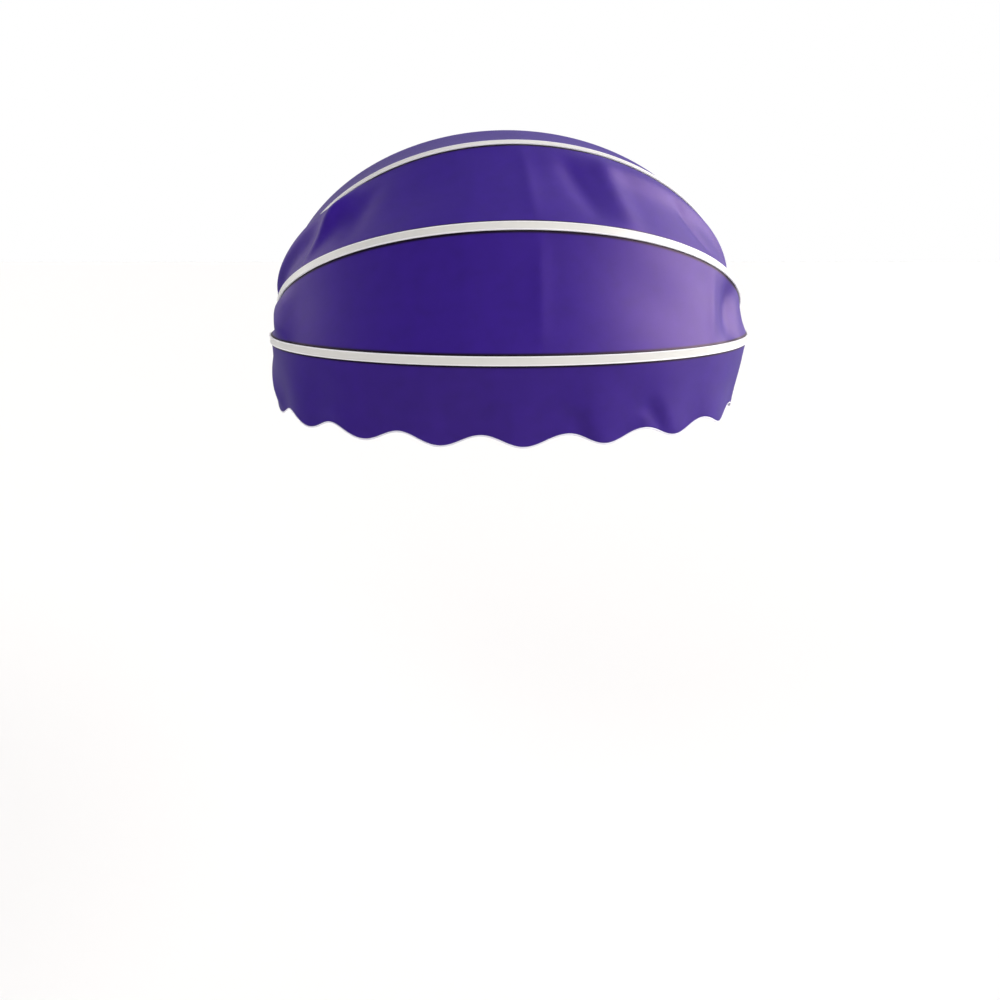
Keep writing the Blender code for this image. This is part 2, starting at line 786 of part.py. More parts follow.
def valance():
    """The strip that hangs from the front bow's lower groove, with a scalloped hem and its binding."""
    inset = groove_in + groove_wide / 2
    held = rib_wide / 2 - cloth_in_groove
    mouth = rib_wide / 2 + cloth_thick / 2 + clearance
    line, share = valance_line(inset)
    phase = 2 * pi * scallop_count * share
    wave = np.cos(phase)
    ripple = valance_ripple * np.sin(phase)
    hem_line, _ = valance_line(inset + valance_lean)
    away = (line - hem_line) / valance_lean
    hem_depth = valance_drop + scallop_depth / 2 * wave

    def row(depth, part):
        flat = line + part * (hem_line - line) + (part * ripple)[:, None] * away
        return np.stack([flat[:, 0], -hinge_from_wall - flat[:, 1], -depth], 1)

    level = np.ones(len(line))
    rows = [row(held * level, 0), row(mouth * level, 0)]
    for k in range(1, valance_strips + 1):
        part = k / valance_strips
        rows.append(row(mouth + part * (hem_depth - mouth), part))
    cloth_object("valance", rows)
    edge = row(hem_depth + binding_gap + binding_radius, 1.0)
    data = bpy.data.curves.new("valance_binding", "CURVE")
    data.dimensions = "3D"
    data.bevel_depth = binding_radius
    data.bevel_resolution = 1
    data.use_fill_caps = True
    spline = data.splines.new("POLY")
    spline.points.add(len(edge) - 1)
    for point, place in zip(spline.points, edge):
        point.co = (*place, 1)
    placed(made_mesh(bpy.data.objects.new("valance_binding", data)), white_binding)


bar = wall_bar()
top_bow = wall_bow()
pulley(top_bow)
for end_sign, end_word in both_ends:
    hinge_bracket(end_word, end_sign, bar)
for bow_name in nest_order[::-1]:
    hinged_bow(bow_name)
canopy_panels()
valance()
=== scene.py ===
"""A folding half-round door canopy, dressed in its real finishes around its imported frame.

Metres, +Z up, +Y into the wall. Each section makes one piece, or one group of like pieces, in the order in
which the canopy is put together.
"""

import json

import bmesh
import bpy
import numpy as np
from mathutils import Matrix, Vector
from mathutils.geometry import tessellate_polygon


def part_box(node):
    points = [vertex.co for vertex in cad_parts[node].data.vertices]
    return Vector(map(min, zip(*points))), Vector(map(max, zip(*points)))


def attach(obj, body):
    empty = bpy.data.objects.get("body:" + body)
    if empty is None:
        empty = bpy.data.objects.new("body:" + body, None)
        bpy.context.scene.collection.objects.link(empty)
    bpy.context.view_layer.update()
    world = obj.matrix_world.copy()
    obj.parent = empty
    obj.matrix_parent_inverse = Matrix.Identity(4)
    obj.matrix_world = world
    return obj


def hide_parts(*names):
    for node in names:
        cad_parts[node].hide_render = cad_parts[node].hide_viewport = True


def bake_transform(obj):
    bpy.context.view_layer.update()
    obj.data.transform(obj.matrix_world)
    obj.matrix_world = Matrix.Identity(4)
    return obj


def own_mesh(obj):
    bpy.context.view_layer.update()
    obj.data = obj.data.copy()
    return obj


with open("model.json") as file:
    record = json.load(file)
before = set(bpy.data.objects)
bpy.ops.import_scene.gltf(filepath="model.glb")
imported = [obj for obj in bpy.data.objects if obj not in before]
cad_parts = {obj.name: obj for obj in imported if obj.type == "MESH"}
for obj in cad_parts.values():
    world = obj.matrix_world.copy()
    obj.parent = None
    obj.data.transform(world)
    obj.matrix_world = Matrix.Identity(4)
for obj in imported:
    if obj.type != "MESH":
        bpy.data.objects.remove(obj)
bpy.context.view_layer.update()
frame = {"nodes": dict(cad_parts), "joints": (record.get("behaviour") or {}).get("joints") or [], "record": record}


# The viewpoint: someone in front of the canopy, a little left of its middle and a little above its hinges,
# who looks slightly down and to the right. The sensor's shift keeps the canopy in the upper half of the view.
hinge_line = Vector(frame["joints"][0]["pos_m"])
eye_from_hinges = Vector((-0.1006, -1.5244, 0.1859))
looks_down = 0.2107
looks_right = 0.0501
focal_length = 0.56797      # as a share of the picture's width
picture_shift = -0.12
sensor_width = 36           # millimetres
viewpoint_data = bpy.data.cameras.new("viewpoint")
viewpoint_data.sensor_width = sensor_width
viewpoint_data.lens = focal_length * sensor_width
viewpoint_data.shift_y = picture_shift
viewpoint = bpy.data.objects.new("viewpoint", viewpoint_data)
viewpoint.location = hinge_line + eye_from_hinges
viewpoint.rotation_euler = (np.pi / 2 - looks_down, 0, -looks_right)
bpy.context.scene.collection.objects.link(viewpoint)
bpy.context.scene.camera = viewpoint


# The wall bar is an extruded square tube of aluminium under a white powder coat, sawn to length and closed
# with a plastic cap at each end. Riveted plates and clips of zinc-plated steel join it to the wall bow and
# the wall.
def add_node(tree, kind, inputs=(), **settings):
    """A shader node. inputs pairs a socket, by name or place, with its value or the output that feeds it."""
    made = tree.nodes.new(kind)
    for key, value in settings.items():
        setattr(made, key, value)
    for socket, value in inputs:
        if isinstance(value, bpy.types.NodeSocket):
            tree.links.new(value, made.inputs[socket])
        else:
            made.inputs[socket].default_value = value
    return made


def mixed_colour(tree, share, first, second):
    """The output that runs from the first colour to the second one with share."""
    colours = [value if isinstance(value, bpy.types.NodeSocket) else (*value, 1) for value in (first, second)]
    mix = add_node(tree, "ShaderNodeMix", [(0, share), (6, colours[0]), (7, colours[1])], data_type="RGBA")
    return mix.outputs[2]


def effect_group(name, inputs, outputs):
    """An empty node group with these named sockets, and its two ends."""
    tree = bpy.data.node_groups.new(name, "ShaderNodeTree")
    for socket, kind in inputs:
        tree.interface.new_socket(socket, in_out="INPUT", socket_type=kind)
    for socket, kind in outputs:
        tree.interface.new_socket(socket, in_out="OUTPUT", socket_type=kind)
    return tree, tree.nodes.new("NodeGroupInput").outputs, tree.nodes.new("NodeGroupOutput").inputs


def surface_grain_group():
    """Grain is fine noise at the grain size. Marks is coarse noise pushed to a mask of rubbed patches."""
    tree, given, out = effect_group(
        "surface_grain",
        [
            ("Vector", "NodeSocketVector"),
            ("Grains per metre", "NodeSocketFloat"),
            ("Marks per metre", "NodeSocketFloat"),
        ],
        [("Grain", "NodeSocketFloat"), ("Marks", "NodeSocketFloat")],
    )
    place = given["Vector"]
    fine = add_node(
        tree, "ShaderNodeTexNoise", [("Vector", place), ("Scale", given["Grains per metre"]), ("Detail", 3.0)]
    )
    coarse = add_node(
        tree, "ShaderNodeTexNoise",
        [("Vector", place), ("Scale", given["Marks per metre"]), ("Detail", 6.0), ("Roughness", 0.62)],
    )
    mask = add_node(
        tree, "ShaderNodeMapRange", [("Value", coarse.outputs["Fac"]), ("From Min", 0.45), ("From Max", 0.75)]
    )
    tree.links.new(fine.outputs["Fac"], out["Grain"])
    tree.links.new(mask.outputs["Result"], out["Marks"])
    return tree


surface_grain = surface_grain_group()


def hard_finish(
    name, colour, marked, roughness, marked_roughness, metallic, grain, marks, bump, painted_channel_shade=None
):
    """A hard surface whose colour and roughness shift towards their marked values where the marks lie.

    Where a piece has the painted channel-shade attribute, its colour also turns to that greyer colour: painted
    shade that stands for the shadow in the channel.
    """
    made = bpy.data.materials.new(name)
    made.use_nodes = True
    tree = made.node_tree
    shader = tree.nodes["Principled BSDF"]
    place = add_node(tree, "ShaderNodeTexCoord").outputs["Object"]
    effect = add_node(tree, "ShaderNodeGroup", node_tree=surface_grain)
    tree.links.new(place, effect.inputs["Vector"])
    effect.inputs["Grains per metre"].default_value = grain
    effect.inputs["Marks per metre"].default_value = marks
    tint = mixed_colour(tree, effect.outputs["Marks"], colour, marked)
    if painted_channel_shade:
        where = add_node(tree, "ShaderNodeAttribute", attribute_name="painted_channel_shade").outputs["Fac"]
        tint = mixed_colour(tree, where, tint, painted_channel_shade)
    rough = add_node(
        tree, "ShaderNodeMapRange",
        [("Value", effect.outputs["Marks"]), ("To Min", roughness), ("To Max", marked_roughness)],
    )
    relief = add_node(
        tree, "ShaderNodeBump", [("Height", effect.outputs["Grain"]), ("Distance", bump), ("Strength", 0.5)]
    )
    tree.links.new(tint, shader.inputs["Base Color"])
    tree.links.new(rough.outputs["Result"], shader.inputs["Roughness"])
    tree.links.new(relief.outputs["Normal"], shader.inputs["Normal"])
    shader.inputs["Metallic"].default_value = metallic
    return made


powder_coat = hard_finish(
    "white_powder_coat", (0.78, 0.78, 0.76), (0.68, 0.68, 0.64), 0.34, 0.50, 0.0, 900.0, 9.0, 0.00012
)
grey_plastic = hard_finish(
    "grey_moulded_plastic", (0.22, 0.22, 0.23), (0.29, 0.29, 0.29), 0.48, 0.62, 0.0, 1800.0, 30.0, 0.00008
)
zinc_plate = hard_finish(
    "zinc_plated_steel", (0.56, 0.57, 0.60), (0.42, 0.42, 0.43), 0.30, 0.52, 1.0, 700.0, 55.0, 0.00005
)
body_of = {node: body for body, nodes in frame["record"]["behaviour"]["bodies"].items() for node in nodes}


def belongs(piece, *nodes):
    """Lets a piece stand for these packed ones, with the first one's body."""
    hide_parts(*nodes)
    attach(piece, body_of[nodes[0]])


welded_within = 1e-6
flat_within = np.radians(1)
sharp_from = np.radians(35)


def eased(material, edge, *nodes):
    """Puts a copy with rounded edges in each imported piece's place: its flat faces joined, then bevelled."""
    for node in nodes:
        bm = bmesh.new()
        bm.from_mesh(frame["nodes"][node].data)
        bmesh.ops.remove_doubles(bm, verts=bm.verts, dist=welded_within)
        bmesh.ops.dissolve_limit(bm, angle_limit=flat_within, verts=bm.verts, edges=bm.edges)
        mesh = bpy.data.meshes.new(node + "_eased")
        bm.to_mesh(mesh)
        bm.free()
        mesh.shade_smooth()
        mesh.set_sharp_from_angle(angle=sharp_from)
        mesh.materials.append(material)
        made = bpy.data.objects.new(node + "_eased", mesh)
        bpy.context.scene.collection.objects.link(made)
        bevel = made.modifiers.new("rounded_edges", "BEVEL")
        bevel.width = edge
        bevel.segments = 2
        bevel.limit_method = "ANGLE"
        bevel.angle_limit = sharp_from
        belongs(made, node)


def pair(*names):
    """Each name once for the left end and once for the right one."""
    return [name.format(side) for name in names for side in ("left", "right")]


sheet_edge = 0.0003
moulded_edge = 0.0006
eased(powder_coat, sheet_edge, "wall_bar")
eased(grey_plastic, moulded_edge, *pair("wall_bar_cap_{}"))
eased(zinc_plate, sheet_edge, *pair("corner_plate_{}", "wall_clip_{}"))


# The wall bow is the half ellipse of aluminium tube that stands flat against the wall. The cloth wraps over
# it, so its outside is plain, and its back is what rests on the wall.
bow_leg = 0.040
wall_bow_wide = 0.022
bow_deep = 0.013
bow_wall = 0.0013
corner_round = 0.0012
corner_steps = 5
bend_sharp_from = np.radians(40)
line_points = 4000
stations = 241


def bow_line(half, reach, start, inset, count):
    """Points at even steps along a bow, and the directions that point outwards there.

    The line is half an ellipse, whose half axes are half and the reach less the leg, standing on a straight
    leg at each end. It is cut off at start above the hinges and moved inwards along its normals by inset.
    """
    rise = reach - bow_leg
    first = np.arcsin(max(0.0, (start - bow_leg) / rise))
    angle = np.linspace(first, np.pi - first, line_points)
    points = np.stack([half * np.cos(angle), bow_leg + rise * np.sin(angle)], 1)
    normals = np.stack([rise * np.cos(angle), half * np.sin(angle)], 1)
    normals /= np.linalg.norm(normals, axis=1, keepdims=True)
    if start < bow_leg:
        points = np.vstack([[[half, start]], points, [[-half, start]]])
        normals = np.vstack([[[1.0, 0.0]], normals, [[-1.0, 0.0]]])
    points = points - inset * normals
    run = np.concatenate([[0], np.cumsum(np.linalg.norm(np.diff(points, axis=0), axis=1))])
    even = np.linspace(0, run[-1], count)
    return tuple(
        np.stack([np.interp(even, run, values[:, k]) for k in (0, 1)], 1) for values in (points, normals)
    )


def mesh_piece(name, points, faces, material):
    """A closed mesh with its faces turned outwards, smooth apart from its sharp edges."""
    mesh = bpy.data.meshes.new(name)
    mesh.from_pydata(points.reshape(-1, 3).tolist(), [], faces)
    bm = bmesh.new()
    bm.from_mesh(mesh)
    bmesh.ops.recalc_face_normals(bm, faces=bm.faces)
    bm.to_mesh(mesh)
    bm.free()
    mesh.shade_smooth()
    mesh.set_sharp_from_angle(angle=bend_sharp_from)
    mesh.materials.append(material)
    made = bpy.data.objects.new(name, mesh)
    bpy.context.scene.collection.objects.link(made)
    return made


def ring_faces(rings, size, offset=0):
    """The four-sided faces between neighbouring rings of size points each."""
    step, turn = np.meshgrid(np.arange(rings - 1), np.arange(size), indexing="ij")
    after = (turn + 1) % size
    corners = [step * size + turn, step * size + after, (step + 1) * size + after, (step + 1) * size + turn]
    return (offset + np.stack(corners, -1).reshape(-1, 4)).tolist()


def carried(name, line, outward, sideways, loops, material):
    """Closed profile loops carried along a line, with both ends capped.

    A vertex is its station plus outward times the profile's first value plus sideways times its second, for
    all stations and profile points at once. The first loop is the outside and a second one is the hollow.
    """
    points, faces, starts, offset = [], [], [], 0
    count = len(line)
    for loop in loops:
        off = loop[None, :, :1] * outward[:, None] + loop[None, :, 1:] * sideways
        points.append((line[:, None] + off).reshape(-1, 3))
        faces += ring_faces(count, len(loop), offset)
        starts.append(offset + np.arange(len(loop)))
        offset += count * len(loop)
    first = np.concatenate(starts)
    last = np.concatenate([start + (count - 1) * len(start) for start in starts])
    filling = tessellate_polygon([[Vector((*point, 0)) for point in loop] for loop in loops])
    for ends in (first, last):
        faces += [[int(ends[k]) for k in triangle] for triangle in filling]
    return mesh_piece(name, np.concatenate(points), faces, material)


def rounded_box(depth_low, depth_high, half, radius):
    """A rectangle's outline with a quarter circle at each corner, as (depth, width) points."""
    sweep = np.linspace(0, np.pi / 2, corner_steps)
    outline = []
    for depth, width, start in (
        (depth_high - radius, half - radius, 0),
        (depth_low + radius, half - radius, np.pi / 2),
        (depth_low + radius, radius - half, np.pi),
        (depth_high - radius, radius - half, 3 * np.pi / 2),
    ):
        turn = start + sweep
        outline.append(np.stack([depth + radius * np.cos(turn), width + radius * np.sin(turn)], 1))
    return np.vstack(outline)


wall_bow_low, wall_bow_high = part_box("wall_bow")
wall_half = wall_bow_high.x
wall_reach = 0.5028
wall_line, wall_out = bow_line(wall_half, wall_reach, wall_bow_low.z, 0.0, stations)
standing = np.array([[1.0, 0, 0], [0, 0, 1.0]])
wall_bow = carried(
    "wall_bow_tube",
    wall_line @ standing + np.array([0, -wall_bow_wide / 2, 0]),
    wall_out @ standing,
    np.array([0, 1.0, 0]),
    [
        rounded_box(-bow_deep, 0, wall_bow_wide / 2, corner_round),
        rounded_box(bow_wall - bow_deep, -bow_wall, wall_bow_wide / 2 - bow_wall, corner_round / 3),
    ],
    powder_coat,
)
belongs(wall_bow, "wall_bow")


# The hinged bows are bent from one white powder-coated aluminium extrusion: a flat tube with a shallow
# channel between two raised lips on its face, and a groove along each side that the cloth's beaded edges
# slide into.
rib_wide = 0.018
groove_in = 0.0028
groove_wide = 0.0024
groove_deep = 0.003
groove_wall = 0.0012
lip_high = 0.0004
lip_wide = 0.0032
channel_low = -0.0004
lip_round = 0.0009
mouth_round = 0.0003
face_steps = 16
lip_steps = 6
back_steps = 4
bow_starts = 0.014
hinged_reach = 0.495
bow_tilt = {"upper": np.radians(60), "middle": np.radians(30), "front": 0.0}
# The last colour is painted shade: a greyer tone on the recessed face between the lips, standing for the shadow
# there.
rib_coat = hard_finish(
    "rib_powder_coat", (0.88, 0.87, 0.90), (0.80, 0.79, 0.81), 0.30, 0.46, 0.0, 900.0, 9.0, 0.00012,
    painted_channel_shade=(0.68, 0.67, 0.64),
)


def grooved_outline():
    """The grooved section's outline, and how much of each point lies in the channel.

    The face rises from the channel to the lip as a smooth step over the lip's width, each lip ends in a
    quarter circle, and the grooves and the back are straight with rounded corners.
    """
    half = rib_wide / 2
    inner = half - groove_deep
    across = np.linspace(0, half - lip_round, face_steps)
    rise = np.clip((across - (half - lip_wide)) / (lip_wide - lip_round), 0, 1)
    rise = rise * rise * (3 - 2 * rise)
    face = np.stack([channel_low + (lip_high - channel_low) * rise, across], 1)
    sweep = np.linspace(0, np.pi / 2, lip_steps)[1:]
    lip = np.stack(
        [
            lip_high - lip_round + lip_round * np.cos(sweep),
            half - lip_round + lip_round * np.sin(sweep),
        ],
        1,
    )
    near, far = -groove_in, -groove_in - groove_wide
    groove = [
        (near + mouth_round, half),
        (near, half - mouth_round),
        (near, inner),
        (far, inner),
        (far, half - mouth_round),
        (far - mouth_round, half),
    ]
    sweep = np.linspace(0, np.pi / 2, back_steps)
    back = np.stack(
        [
            corner_round - bow_deep - corner_round * np.sin(sweep),
            half - corner_round + corner_round * np.cos(sweep),
        ],
        1,
    )
    side = np.vstack([face, lip, groove, back])
    inside = np.concatenate([1 - rise, np.zeros(len(side) - len(rise))])
    return np.vstack([side, side[:0:-1] * [1, -1]]), np.concatenate([inside, inside[:0:-1]])


def in_world(flat, tilt, sideways=0.0):
    """A bow's own plane turned up by its tilt about the hinge line, and moved sideways out of that plane."""
    out = flat[:, 1]
    return np.stack(
        [
            flat[:, 0],
            hinge_line.y - out * np.cos(tilt) + sideways * np.sin(tilt),
            out * np.sin(tilt) + sideways * np.cos(tilt),
        ],
        1,
    )


def turned_up(flat, tilt):
    """Directions in a bow's own plane, turned up by its tilt."""
    return np.stack([flat[:, 0], -flat[:, 1] * np.cos(tilt), flat[:, 1] * np.sin(tilt)], 1)


outline, in_channel = grooved_outline()
hollow = rounded_box(bow_wall - bow_deep, -bow_wall, rib_wide / 2 - groove_deep - groove_wall, mouth_round)
bow_half = {}
for bow_name, tilt in bow_tilt.items():
    bow_half[bow_name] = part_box(f"{bow_name}_bow")[1].x
    line, out = bow_line(bow_half[bow_name], hinged_reach, bow_starts, 0.0, stations)
    bow = carried(
        f"{bow_name}_bow_tube",
        in_world(line, tilt),
        turned_up(out, tilt),
        np.array([0, np.sin(tilt), np.cos(tilt)]),
        [outline, hollow],
        rib_coat,
    )
    # This attribute marks where the painted shade of the channel goes: 1 on the channel's face, 0 on the lips,
    # grooves and back.
    painted_channel_shade = bow.data.attributes.new("painted_channel_shade", "FLOAT", "POINT")
    values = np.concatenate([np.tile(in_channel, stations), np.zeros(stations * len(hollow))])
    painted_channel_shade.data.foreach_set("value", values.astype(np.float32))
    belongs(bow, f"{bow_name}_bow")


# Each end of a bow is plugged by a cast aluminium lug with an eye. Its three eyes sit side by side on an 8 mm
# bolt of zinc-plated steel, kept apart by plastic spacers, through the ear of a bracket on the wall bar.
cast_aluminium = hard_finish(
    "cast_aluminium", (0.55, 0.56, 0.57), (0.40, 0.40, 0.41), 0.46, 0.62, 1.0, 1500.0, 80.0, 0.0002
)
cast_edge = 0.0005
rivet_edge = 0.0002
for bow_name in bow_tilt:
    eased(cast_aluminium, cast_edge, *pair(bow_name + "_lug_{}"))
    eased(zinc_plate, rivet_edge, *pair(bow_name + "_rivet_{}"))
eased(grey_plastic, rivet_edge, *pair("hinge_spacer_{}_1", "hinge_spacer_{}_2", "hinge_spacer_{}_3"))
eased(zinc_plate, sheet_edge, *pair("hinge_bracket_{}", "hinge_bolt_{}", "hinge_nut_{}"))
eased(zinc_plate, rivet_edge, *pair("bracket_screw_{}_1", "bracket_screw_{}_2"))
eased(zinc_plate, rivet_edge, *pair("corner_rivet_{}_1", "corner_rivet_{}_2", "clip_rivet_{}"))


# The pull cord's fittings are a grooved plastic wheel between two steel cheeks under the top of the wall bow,
# and a screwed eye under the middle of each hinged bow.
eased(grey_plastic, sheet_edge, "pulley_wheel")
eased(zinc_plate, rivet_edge, "pulley_bracket", "pulley_rivet", "pulley_pin")
eased(zinc_plate, rivet_edge, *[name + "_cord_eye" for name in bow_tilt])


# The cover is three panels of coated polyester awning cloth in a deep violet, stretched between the bows
# with beaded edges held in their grooves. The upper one goes on over the wall bow, as a strip of its own that
# stays there when the canopy folds. The cloth keeps soft creases from having been folded.
cloth_thick = 0.0009
cloth_inset = groove_in + groove_wide / 2
cloth_held = 0.0016
panel_starts = 0.060
panel_sag = 0.004
threads_per_metre = 1400.0
# The next two numbers shape a dark line of painted shade along each edge in a groove, standing for the groove's
# shadow: its width, and how many times over it is full.
painted_shade_wide = 0.0056
painted_shade_core = 1.6             # how many times over the tuck is full, so that its dark line has a plateau


def plain_weave_group():
    """Height is the product of two sine waves, one along each thread direction, so that threads pass over and
    under each other. Shade is the same with a slow noise that makes patches lighter or darker."""
    tree, given, out = effect_group(
        "plain_weave",
        [("Vector", "NodeSocketVector"), ("Threads per metre", "NodeSocketFloat")],
        [("Height", "NodeSocketFloat"), ("Shade", "NodeSocketFloat")],
    )
    parts = add_node(tree, "ShaderNodeSeparateXYZ", [("Vector", given["Vector"])])
    waves = []
    for direction in ("X", "Y"):
        along = [(0, parts.outputs[direction]), (1, given["Threads per metre"])]
        turns = add_node(tree, "ShaderNodeMath", along, operation="MULTIPLY")
        angle = add_node(tree, "ShaderNodeMath", [(0, turns.outputs[0]), (1, np.pi)], operation="MULTIPLY")
        waves.append(add_node(tree, "ShaderNodeMath", [(0, angle.outputs[0])], operation="SINE").outputs[0])
    height = add_node(tree, "ShaderNodeMath", [(0, waves[0]), (1, waves[1])], operation="MULTIPLY")
    slow = add_node(
        tree, "ShaderNodeTexNoise", [("Vector", given["Vector"]), ("Scale", 30.0), ("Detail", 6.0)]
    )
    both = [(0, height.outputs[0]), (1, 0.12), (2, slow.outputs["Fac"])]
    shade = add_node(tree, "ShaderNodeMath", both, operation="MULTIPLY_ADD")
    tree.links.new(height.outputs[0], out["Height"])
    tree.links.new(shade.outputs[0], out["Shade"])
    return tree


plain_weave = plain_weave_group()


def cloth_finish(name, dark, light, painted_shade_colour, roughness, gloss, gloss_tint):
    """Woven cloth whose colour runs between its dark and light values with the threads' shade.

    Where its painted-shade attribute is 1, at a bow or under a tape, it turns to painted shade: a near-black
    colour that stands for the shadow in the groove.
    """
    made = bpy.data.materials.new(name)
    made.use_nodes = True
    tree = made.node_tree
    shader = tree.nodes["Principled BSDF"]
    threads = add_node(tree, "ShaderNodeUVMap", uv_map="cloth")
    weave = add_node(tree, "ShaderNodeGroup", node_tree=plain_weave)
    tree.links.new(threads.outputs["UV"], weave.inputs["Vector"])
    weave.inputs["Threads per metre"].default_value = threads_per_metre
    painted_groove_shade = add_node(tree, "ShaderNodeAttribute", attribute_name="painted_groove_shade").outputs["Fac"]
    colour = mixed_colour(tree, painted_groove_shade, mixed_colour(tree, weave.outputs["Shade"], dark, light), painted_shade_colour)
    relief = add_node(
        tree, "ShaderNodeBump",
        [("Height", weave.outputs["Height"]), ("Distance", 0.0001), ("Strength", 0.35)],
    )
    tree.links.new(colour, shader.inputs["Base Color"])
    tree.links.new(relief.outputs["Normal"], shader.inputs["Normal"])
    shader.inputs["Roughness"].default_value = roughness
    shader.inputs["Specular IOR Level"].default_value = gloss
    shader.inputs["Specular Tint"].default_value = (*gloss_tint, 1)
    return made


# The third colour, near black, is painted shade: it darkens the cloth where it goes into a groove, standing for
# the groove's shadow.
violet_cloth = cloth_finish(
    "violet_awning_cloth", (0.014, 0.0012, 0.170), (0.025, 0.0038, 0.252), (0.001, 0.0005, 0.006),
    0.54, 0.76, (1.0, 0.62, 0.95),
)


def sheet_mesh(name, grid, lengths, painted_groove_shade, material):
    """A grid of points, rows by columns, made into a sheet of cloth with thread coordinates in metres.

    Its thickness is laid on along the plain normals. An evened one throws spikes where a fold turns sharply.
    """
    rows, columns = grid.shape[:2]
    mesh = bpy.data.meshes.new(name)
    row, column = np.meshgrid(np.arange(rows - 1), np.arange(columns - 1), indexing="ij")
    corner = (row * columns + column).reshape(-1)
    faces = np.stack([corner, corner + 1, corner + columns + 1, corner + columns], 1)
    mesh.from_pydata(grid.reshape(-1, 3).tolist(), [], faces.tolist())
    threads = mesh.uv_layers.new(name="cloth")
    threads.data.foreach_set("uv", lengths.reshape(-1, 2)[faces.reshape(-1)].astype(np.float32).ravel())
    mesh.attributes.new("painted_groove_shade", "FLOAT", "POINT").data.foreach_set("value", painted_groove_shade.astype(np.float32).ravel())
    mesh.shade_smooth()
    mesh.materials.append(material)
    made = bpy.data.objects.new(name, mesh)
    bpy.context.scene.collection.objects.link(made)
    solid = made.modifiers.new("thickness", "SOLIDIFY")
    solid.thickness = cloth_thick
    solid.offset = 0
    return made


ends_steepness = 12.0
wave_count = 9


def crease(share, across, start, end, width, height, sharp=False):
    """A ridge along the line from start to end, in shares along and across a panel.

    It falls off with the distance from the line, as a bell curve or, where sharp, as a rounded tent, and
    fades at both ends of the line. Distances count a panel's length as six times its width.
    """
    longer = 6.0
    run = np.array([(end[0] - start[0]) * longer, end[1] - start[1]])
    length = np.hypot(*run)
    run /= length
    along = (share - start[0]) * longer * run[0] + (across - start[1]) * run[1]
    off = (share - start[0]) * longer * run[1] - (across - start[1]) * run[0]
    fade = 1 / (1 + np.exp(-ends_steepness * along / length))
    fade = fade / (1 + np.exp(ends_steepness * (along / length - 1)))
    ridge = np.exp(1 - np.sqrt(1 + (off / width) ** 2)) if sharp else np.exp(-((off / width) ** 2))
    return height * fade * ridge


def soft_waves(share, across, seed, height):
    """Slow random waves: a few crossed sines whose directions and phases come from a seeded draw."""
    draw = np.random.default_rng(seed)
    total = np.zeros_like(share)
    for _ in range(wave_count):
        turns_along, turns_across = draw.uniform(2, 11), draw.uniform(-1.4, 1.4)
        turns = turns_along * share + turns_across * across + draw.uniform()
        total += np.sin(2 * np.pi * turns) / turns_along
    return height * total


def normals_of(grid):
    """Unit normals of a grid of points: the cross product of its gradients, pointing out of the canopy."""
    normal = np.cross(np.gradient(grid, axis=1), np.gradient(grid, axis=0))
    normal /= np.linalg.norm(normal, axis=2, keepdims=True)
    centre = np.array([0, hinge_line.y, 0])
    return normal * np.sign(((grid - centre) * normal).sum(2).mean())


def lengths_of(grid):
    """How far each point of a grid lies along its rows and down its columns, in metres."""
    along = np.linalg.norm(np.diff(grid[len(grid) // 2], axis=0), axis=1)
    down = np.linalg.norm(np.diff(grid, axis=0), axis=2)
    along = np.concatenate([[0], np.cumsum(along)])
    down = np.vstack([np.zeros(grid.shape[1]), np.cumsum(down, axis=0)])
    return np.stack([np.broadcast_to(along, down.shape), down], -1)


panel_columns = 401
panel_rows = 61
panel_waves = 0.0012
half_rib = rib_wide / 2
across_line = (1 - np.cos(np.linspace(0, np.pi, panel_rows))) / 2


def stretched_panel(name, upper_rows, lower_rows, creases, seed):
    """Cloth pulled between two edges: straight from one to the other, with a slight sag towards the hinges
    and its creases along its normals. The sag and creases die out at the edges.

    An edge with a further row is tucked into a groove, and a dark line of painted shade along it stands for the
    groove's shadow. An edge with only one row meets the cloth over the wall bow and has no such line.
    """
    across, share = np.meshgrid(across_line, np.linspace(0, 1, panel_columns), indexing="ij")
    top, bottom = upper_rows[-1], lower_rows[0]
    grid = (1 - across)[..., None] * top + across[..., None] * bottom
    held = np.sin(np.pi * across)
    relief = -panel_sag * held
    edge = held ** 0.5
    relief = relief + edge * soft_waves(share, across, seed, panel_waves)
    for one in creases:
        relief = relief + edge * crease(share, across, *one)
    normals = normals_of(grid)
    grid = grid + relief[..., None] * normals
    rows = np.array([*upper_rows[:-1], *grid, *lower_rows[1:]])
    lengths = lengths_of(rows)
    down = lengths[..., 1]
    from_bow = down[-len(lower_rows)] - down
    if len(upper_rows) > 1:
        from_bow = np.minimum(down - down[len(upper_rows) - 1], from_bow)
    # Painted shade: a dark line within a few millimetres of each grooved edge, standing for the shadow in the
    # groove.
    painted_groove_shade = np.clip(painted_shade_core * (1 - from_bow / painted_shade_wide), 0, 1)
    return sheet_mesh(name, rows, lengths, painted_groove_shade, violet_cloth)


def bow_row(bow_name, sideways):
    """The line of the cloth along a bow's groove, moved sideways of the bow's own plane."""
    line, _ = bow_line(bow_half[bow_name], hinged_reach, panel_starts, cloth_inset, panel_columns)
    return in_world(line, bow_tilt[bow_name], sideways)


def folding(cover):
    """Puts a panel's placement into its mesh, and nothing more.
    """
    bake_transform(cover)


mouth = half_rib + cloth_thick
tucked = half_rib - cloth_held
strip_lies_off = 0.0011
strip_from_wall = (0.0008, 0.006, 0.012, 0.018, 0.0223)
over_line, _ = bow_line(wall_half, wall_reach, panel_starts, -strip_lies_off, panel_columns)
strip_grid = np.array([over_line @ standing + np.array([0, -behind, 0]) for behind in strip_from_wall])
no_painted_shade = np.zeros(strip_grid.shape[:2])
bow_strip = sheet_mesh("cloth_over_wall_bow", strip_grid, lengths_of(strip_grid), no_painted_shade, violet_cloth)
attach(bow_strip, "wall_frame")
